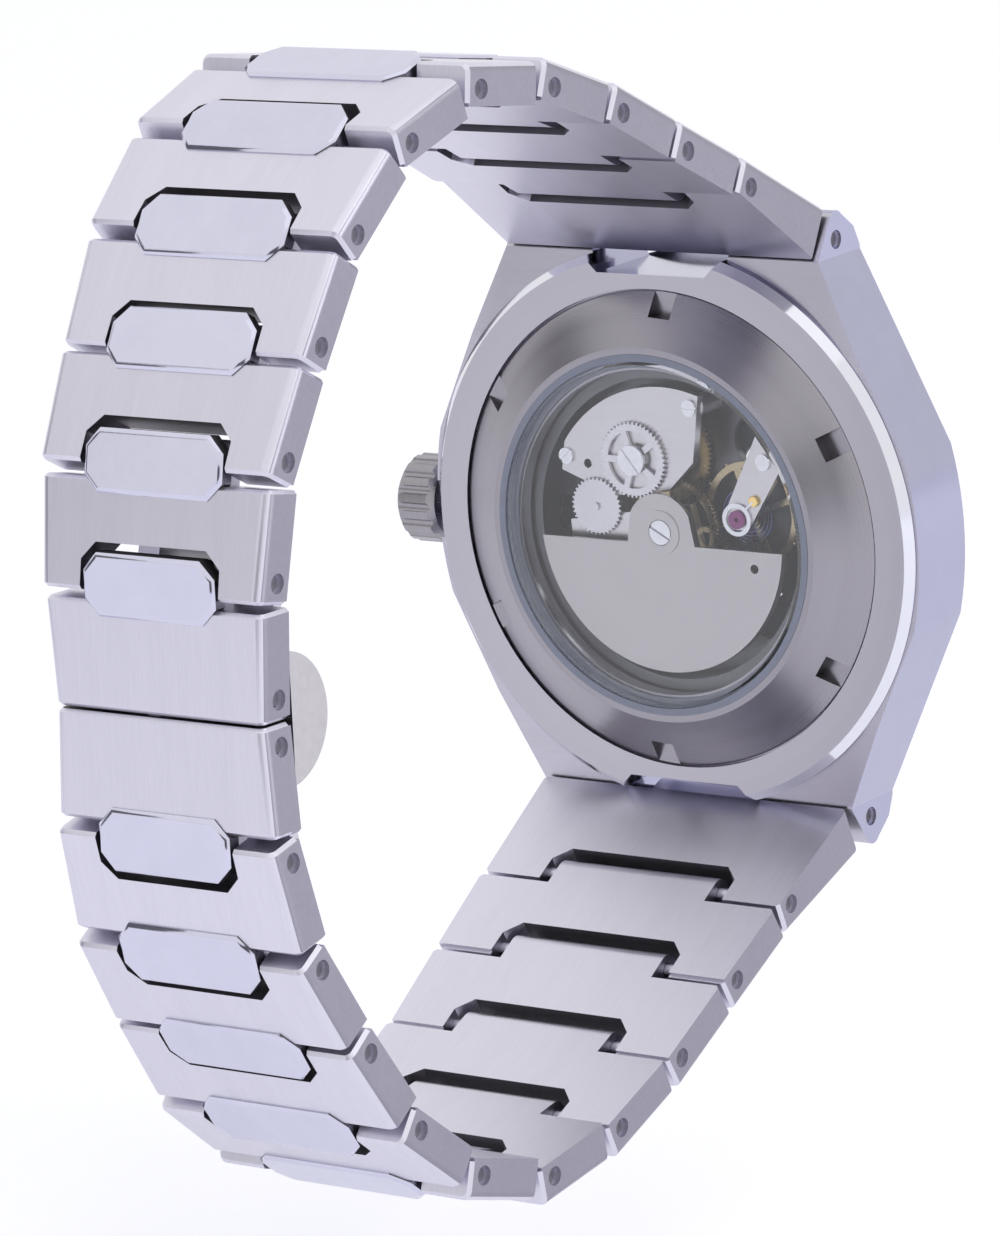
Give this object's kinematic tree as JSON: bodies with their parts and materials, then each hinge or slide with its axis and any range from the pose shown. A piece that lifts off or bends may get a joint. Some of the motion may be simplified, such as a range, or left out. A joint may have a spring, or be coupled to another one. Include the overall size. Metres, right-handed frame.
{
  "type": "skeleton wristwatch",
  "caption": "Automatic skeleton wristwatch with a steel case, display back, integrated link bracelet with raised centre caps and a butterfly clasp.",
  "frame": {"origin": "centre of the case back, in the plane of the flat land round the screwed back", "axes": "+X towards the crown (3 o'clock), +Y out of the case back towards the wrist, +Z towards 12 o'clock"},
  "size_m": [0.0473, 0.0715, 0.082],
  "materials": {
    "brushed_steel": "long-grain brushed stainless steel",
    "polished_steel": "polished stainless steel",
    "crystal": "clear mineral crystal",
    "gasket": "smooth translucent seal",
    "plate_steel": "fine-brushed nickel-plated plate",
    "gold": "gilt brass",
    "ruby": "polished synthetic ruby",
    "dial_dark": "matt dark grey lacquer",
    "blued": "heat-blued steel"
  },
  "bodies": {
    "case": {"mid_case": "brushed_steel", "lug_pins": "polished_steel", "bezel": "polished_steel", "crystal": "crystal", "gaskets": "gasket", "chapter_ring": "dial_dark", "dial": "dial_dark", "hour_markers": "polished_steel", "back_ring": "brushed_steel", "back_glass": "crystal", "movement_ring": "plate_steel", "main_plate": "plate_steel", "barrel_bridge": "plate_steel", "train_bridge": "plate_steel", "balance_cock": "plate_steel", "jewels": "ruby", "movement_screws": "polished_steel"},
    "stem": {"winding_stem": "polished_steel"},
    "crown": {"crown": "brushed_steel"},
    "rotor": {"rotor": "plate_steel"},
    "reversing_wheel": {"reversing_wheel": "plate_steel"},
    "ratchet_wheel": {"ratchet_wheel": "plate_steel"},
    "barrel": {"barrel": "gold"},
    "minute_group": {"centre_wheel": "gold", "minute_hand": "polished_steel"},
    "hour_group": {"hour_hand": "polished_steel"},
    "third_wheel": {"third_wheel": "gold"},
    "seconds_group": {"fourth_wheel": "gold", "seconds_hand": "polished_steel"},
    "escape_wheel": {"escape_wheel": "plate_steel"},
    "pallet_fork": {"pallet_fork": "plate_steel"},
    "balance": {"balance_wheel": "gold", "hairspring": "blued"},
    "clasp_arm_upper": {"clasp_arm_upper": "polished_steel"},
    "clasp_bow": {"clasp_bow": "polished_steel"},
    "clasp_arm_lower": {"clasp_arm_lower": "polished_steel"},
    "clasp_button_left": {"clasp_button_left": "polished_steel"},
    "clasp_button_right": {"clasp_button_right": "polished_steel"},
    "upper_link_01": {"upper_link_01": "brushed_steel"},
    "upper_link_02": {"upper_link_02": "brushed_steel"},
    "upper_link_03": {"upper_link_03": "brushed_steel"},
    "upper_link_04": {"upper_link_04": "brushed_steel"},
    "upper_link_05": {"upper_link_05": "brushed_steel"},
    "upper_link_06": {"upper_link_06": "brushed_steel"},
    "upper_link_07": {"upper_link_07": "brushed_steel"},
    "upper_link_08": {"upper_link_08": "brushed_steel"},
    "upper_link_09": {"upper_link_09": "brushed_steel"},
    "upper_link_10": {"upper_link_10": "brushed_steel"},
    "upper_link_11": {"upper_link_11": "brushed_steel"},
    "lower_link_01": {"lower_link_01": "brushed_steel"},
    "lower_link_02": {"lower_link_02": "brushed_steel"},
    "lower_link_03": {"lower_link_03": "brushed_steel"},
    "lower_link_04": {"lower_link_04": "brushed_steel"},
    "lower_link_05": {"lower_link_05": "brushed_steel"},
    "lower_link_06": {"lower_link_06": "brushed_steel"},
    "lower_link_07": {"lower_link_07": "brushed_steel"},
    "lower_link_08": {"lower_link_08": "brushed_steel"},
    "lower_link_09": {"lower_link_09": "brushed_steel"},
    "lower_link_10": {"lower_link_10": "brushed_steel"},
    "lower_link_11": {"lower_link_11": "brushed_steel"}
  },
  "joints": [
    {"name": "clasp_fold", "type": "hinge", "parent": "upper_link_11", "child": "clasp_arm_upper", "pos_m": [0, 0.05943, 0.00239], "axis": [1, 0, 0], "range_deg": [0, 75]},
    {"name": "upper_hinge_01", "type": "hinge", "parent": "case", "child": "upper_link_01", "pos_m": [0, -0.00405, 0.02182], "axis": [1, 0, 0], "range_deg": [0, 9.01]},
    {"name": "upper_hinge_02", "type": "hinge", "parent": "upper_link_01", "child": "upper_link_02", "pos_m": [0, 0.00567, 0.02739], "axis": [1, 0, 0], "range_deg": [0, 0.76]},
    {"name": "upper_hinge_03", "type": "hinge", "parent": "upper_link_02", "child": "upper_link_03", "pos_m": [0, 0.01273, 0.03125], "axis": [1, 0, 0], "range_deg": [0, 0.76]},
    {"name": "upper_hinge_04", "type": "hinge", "parent": "upper_link_03", "child": "upper_link_04", "pos_m": [0, 0.01977, 0.03515], "axis": [1, 0, 0], "range_deg": [0, 1.68]},
    {"name": "upper_hinge_05", "type": "hinge", "parent": "upper_link_04", "child": "upper_link_05", "pos_m": [0, 0.02722, 0.03821], "axis": [1, 0, 0], "range_deg": [0, 3.44]},
    {"name": "upper_hinge_06", "type": "hinge", "parent": "upper_link_05", "child": "upper_link_06", "pos_m": [0, 0.03518, 0.03941], "axis": [1, 0, 0], "range_deg": [0, 6.46]},
    {"name": "upper_hinge_07", "type": "hinge", "parent": "upper_link_06", "child": "upper_link_07", "pos_m": [0, 0.04287, 0.03703], "axis": [1, 0, 0], "range_deg": [0, 5.58]},
    {"name": "upper_hinge_08", "type": "hinge", "parent": "upper_link_07", "child": "upper_link_08", "pos_m": [0, 0.04908, 0.03191], "axis": [1, 0, 0], "range_deg": [0, 4.43]},
    {"name": "upper_hinge_09", "type": "hinge", "parent": "upper_link_08", "child": "upper_link_09", "pos_m": [0, 0.05344, 0.02515], "axis": [1, 0, 0], "range_deg": [0, 0.76]},
    {"name": "upper_hinge_10", "type": "hinge", "parent": "upper_link_09", "child": "upper_link_10", "pos_m": [0, 0.05744, 0.01816], "axis": [1, 0, 0], "range_deg": [0, 4.46]},
    {"name": "upper_hinge_11", "type": "hinge", "parent": "upper_link_10", "child": "upper_link_11", "pos_m": [0, 0.05912, 0.01029], "axis": [1, 0, 0], "range_deg": [0, 2.44]},
    {"name": "lower_hinge_01", "type": "hinge", "parent": "case", "child": "lower_link_01", "pos_m": [0, -0.00405, -0.02182], "axis": [1, 0, 0], "range_deg": [-9.01, 0]},
    {"name": "lower_hinge_02", "type": "hinge", "parent": "lower_link_01", "child": "lower_link_02", "pos_m": [0, 0.00642, -0.0258], "axis": [1, 0, 0], "range_deg": [-0.76, 0]},
    {"name": "lower_hinge_03", "type": "hinge", "parent": "lower_link_02", "child": "lower_link_03", "pos_m": [0, 0.01348, -0.02966], "axis": [1, 0, 0], "range_deg": [-0.76, 0]},
    {"name": "lower_hinge_04", "type": "hinge", "parent": "lower_link_03", "child": "lower_link_04", "pos_m": [0, 0.02052, -0.03357], "axis": [1, 0, 0], "range_deg": [-1.68, 0]},
    {"name": "lower_hinge_05", "type": "hinge", "parent": "lower_link_04", "child": "lower_link_05", "pos_m": [0, 0.02797, -0.03662], "axis": [1, 0, 0], "range_deg": [-3.44, 0]},
    {"name": "lower_hinge_06", "type": "hinge", "parent": "lower_link_05", "child": "lower_link_06", "pos_m": [0, 0.03593, -0.03782], "axis": [1, 0, 0], "range_deg": [-6.46, 0]},
    {"name": "lower_hinge_07", "type": "hinge", "parent": "lower_link_06", "child": "lower_link_07", "pos_m": [0, 0.04362, -0.03544], "axis": [1, 0, 0], "range_deg": [-5.58, 0]},
    {"name": "lower_hinge_08", "type": "hinge", "parent": "lower_link_07", "child": "lower_link_08", "pos_m": [0, 0.04983, -0.03032], "axis": [1, 0, 0], "range_deg": [-4.43, 0]},
    {"name": "lower_hinge_09", "type": "hinge", "parent": "lower_link_08", "child": "lower_link_09", "pos_m": [0, 0.05419, -0.02356], "axis": [1, 0, 0], "range_deg": [-0.76, 0]},
    {"name": "lower_hinge_10", "type": "hinge", "parent": "lower_link_09", "child": "lower_link_10", "pos_m": [0, 0.05819, -0.01657], "axis": [1, 0, 0], "range_deg": [-4.46, 0]},
    {"name": "lower_hinge_11", "type": "hinge", "parent": "lower_link_10", "child": "lower_link_11", "pos_m": [0, 0.05987, -0.0087], "axis": [1, 0, 0], "range_deg": [-3.58, 0]},
    {"name": "bow_fold", "type": "hinge", "parent": "clasp_arm_upper", "child": "clasp_bow", "pos_m": [0, 0.05447, 0.01421], "axis": [1, 0, 0], "range_deg": [-114.72, 0]},
    {"name": "lower_arm_fold", "type": "hinge", "parent": "clasp_bow", "child": "clasp_arm_lower", "pos_m": [0, 0.05555, -0.01297], "axis": [1, 0, 0], "range_deg": [-114.72, 0]},
    {"name": "button_left_press", "type": "slide", "parent": "clasp_bow", "child": "clasp_button_left", "axis": [1, 0, 0], "range_m": [0, 0.0008], "stiffness_N_per_m": 400, "springref_m": -0.0005},
    {"name": "button_right_press", "type": "slide", "parent": "clasp_bow", "child": "clasp_button_right", "axis": [-1, 0, 0], "range_m": [0, 0.0008], "stiffness_N_per_m": 400, "springref_m": -0.0005},
    {"name": "crown_pull", "type": "slide", "parent": "case", "child": "stem", "axis": [1, 0, 0], "range_m": [0, 0.001]},
    {"name": "crown_turn", "type": "hinge", "parent": "stem", "child": "crown", "pos_m": [0.0239, -0.0039, 0], "axis": [1, 0, 0], "continuous": true},
    {"name": "rotor_spin", "type": "hinge", "parent": "case", "child": "rotor", "pos_m": [0, 0, 0], "axis": [0, 1, 0], "continuous": true},
    {"name": "reverser_spin", "type": "hinge", "parent": "case", "child": "reversing_wheel", "pos_m": [0.0062, 0, 0.0014], "axis": [0, 1, 0], "continuous": true},
    {"name": "ratchet_spin", "type": "hinge", "parent": "case", "child": "ratchet_wheel", "pos_m": [0.0026, 0, 0.0052], "axis": [0, 1, 0], "continuous": true},
    {"name": "minute_turn", "type": "hinge", "parent": "case", "child": "minute_group", "pos_m": [0, 0, 0], "axis": [0, 1, 0], "continuous": true},
    {"name": "hour_turn", "type": "hinge", "parent": "case", "child": "hour_group", "pos_m": [0, 0, 0], "axis": [0, 1, 0], "continuous": true},
    {"name": "barrel_turn", "type": "hinge", "parent": "case", "child": "barrel", "pos_m": [0.0026, 0, 0.0052], "axis": [0, 1, 0], "continuous": true},
    {"name": "third_turn", "type": "hinge", "parent": "case", "child": "third_wheel", "pos_m": [0.0024, 0, -0.0032], "axis": [0, 1, 0], "continuous": true},
    {"name": "seconds_turn", "type": "hinge", "parent": "case", "child": "seconds_group", "pos_m": [0, 0, 0], "axis": [0, 1, 0], "continuous": true},
    {"name": "escape_turn", "type": "hinge", "parent": "case", "child": "escape_wheel", "pos_m": [-0.00295, 0, -0.003], "axis": [0, 1, 0], "continuous": true},
    {"name": "pallet_rock", "type": "hinge", "parent": "case", "child": "pallet_fork", "pos_m": [-0.00496, 0, -0.00075], "axis": [0, 1, 0], "range_deg": [-5, 5]},
    {"name": "balance_swing", "type": "hinge", "parent": "case", "child": "balance", "pos_m": [-0.0063, 0, 0.0012], "axis": [0, 1, 0], "range_deg": [-270, 270], "stiffness_Nm_per_rad": 0.000001}
  ],
  "couplings": [
    {"joint": "upper_hinge_01", "follows": "clasp_fold", "ratio": 0.12},
    {"joint": "upper_hinge_02", "follows": "clasp_fold", "ratio": 0.01},
    {"joint": "upper_hinge_03", "follows": "clasp_fold", "ratio": 0.01},
    {"joint": "upper_hinge_04", "follows": "clasp_fold", "ratio": 0.0223},
    {"joint": "upper_hinge_05", "follows": "clasp_fold", "ratio": 0.0457},
    {"joint": "upper_hinge_06", "follows": "clasp_fold", "ratio": 0.086},
    {"joint": "upper_hinge_07", "follows": "clasp_fold", "ratio": 0.0743},
    {"joint": "upper_hinge_08", "follows": "clasp_fold", "ratio": 0.059},
    {"joint": "upper_hinge_09", "follows": "clasp_fold", "ratio": 0.01},
    {"joint": "upper_hinge_10", "follows": "clasp_fold", "ratio": 0.0593},
    {"joint": "upper_hinge_11", "follows": "clasp_fold", "ratio": 0.0324},
    {"joint": "lower_hinge_01", "follows": "clasp_fold", "ratio": -0.12},
    {"joint": "lower_hinge_02", "follows": "clasp_fold", "ratio": -0.01},
    {"joint": "lower_hinge_03", "follows": "clasp_fold", "ratio": -0.01},
    {"joint": "lower_hinge_04", "follows": "clasp_fold", "ratio": -0.0223},
    {"joint": "lower_hinge_05", "follows": "clasp_fold", "ratio": -0.0457},
    {"joint": "lower_hinge_06", "follows": "clasp_fold", "ratio": -0.086},
    {"joint": "lower_hinge_07", "follows": "clasp_fold", "ratio": -0.0743},
    {"joint": "lower_hinge_08", "follows": "clasp_fold", "ratio": -0.059},
    {"joint": "lower_hinge_09", "follows": "clasp_fold", "ratio": -0.01},
    {"joint": "lower_hinge_10", "follows": "clasp_fold", "ratio": -0.0593},
    {"joint": "lower_hinge_11", "follows": "clasp_fold", "ratio": -0.0476},
    {"joint": "bow_fold", "follows": "clasp_fold", "ratio": -1.529},
    {"joint": "lower_arm_fold", "follows": "clasp_fold", "ratio": -1.529},
    {"joint": "reverser_spin", "follows": "rotor_spin", "ratio": -1.5},
    {"joint": "ratchet_spin", "follows": "rotor_spin", "ratio": 0.008},
    {"joint": "hour_turn", "follows": "minute_turn", "ratio": 0.083333},
    {"joint": "barrel_turn", "follows": "minute_turn", "ratio": -0.14286},
    {"joint": "third_turn", "follows": "minute_turn", "ratio": -8},
    {"joint": "seconds_turn", "follows": "minute_turn", "ratio": 60},
    {"joint": "escape_turn", "follows": "minute_turn", "ratio": -600}
  ]
}
